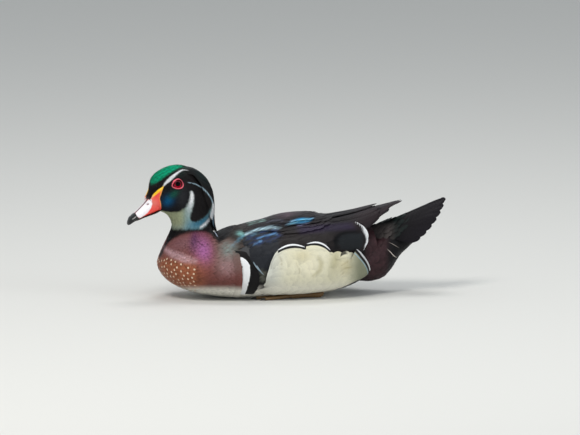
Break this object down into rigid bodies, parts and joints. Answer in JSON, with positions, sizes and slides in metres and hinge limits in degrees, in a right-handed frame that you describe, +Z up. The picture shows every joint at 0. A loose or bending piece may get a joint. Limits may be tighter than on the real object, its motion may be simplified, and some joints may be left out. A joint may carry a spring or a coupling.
{
  "type": "wood duck",
  "caption": "Life-size still model of a drake wood duck sitting on its belly as it floats, crested head turned to its left, bill down.",
  "frame": {"origin": "centre of the flat patch under the belly that the model rests on", "axes": "+Z up, -X the way the duck faces, -Y its left side, +X along the tail"},
  "size_m": [0.369, 0.137, 0.1515],
  "materials": {
    "breast": "short dense feathers, chestnut, with small buff spots",
    "neck": "short dense feathers, black to purple",
    "head": "short glossy feathers, black and green with white lines and a white throat",
    "crest": "long flat glossy feathers, black-green with white lines",
    "bill_upper": "smooth horn, scarlet and white with a black ridge and nail and a yellow base line",
    "bill_lower": "smooth horn, black",
    "eye": "wet glossy eye, red iris and black pupil",
    "wing": "glossy flight feathers and coverts, black with blue sheen, white tips on the secondaries",
    "scapulars": "long glossy shoulder feathers, black with blue and teal sheen",
    "flank": "broad soft feathers, finely barred buff with black and white tips",
    "tail": "long stiff feathers, black with a faint green sheen",
    "tail_coverts_upper": "soft feathers, black with a green sheen",
    "tail_coverts_lower": "soft dense feathers, maroon to black-brown",
    "leg": "scaly skin, dull yellow with dusky webs"
  },
  "bodies": {
    "root": {"torso": "breast", "neck": "neck", "head": "head", "crest": "crest", "bill_upper": "bill_upper", "bill_lower": "bill_lower", "eye_left": "eye", "eye_right": "eye", "wing_left": "wing", "wing_right": "wing", "scapulars_left": "scapulars", "scapulars_right": "scapulars", "flank_left": "flank", "flank_right": "flank", "tail": "tail", "tail_coverts_upper": "tail_coverts_upper", "tail_coverts_lower": "tail_coverts_lower", "leg_left": "leg", "leg_right": "leg"}
  },
  "joints": []
}
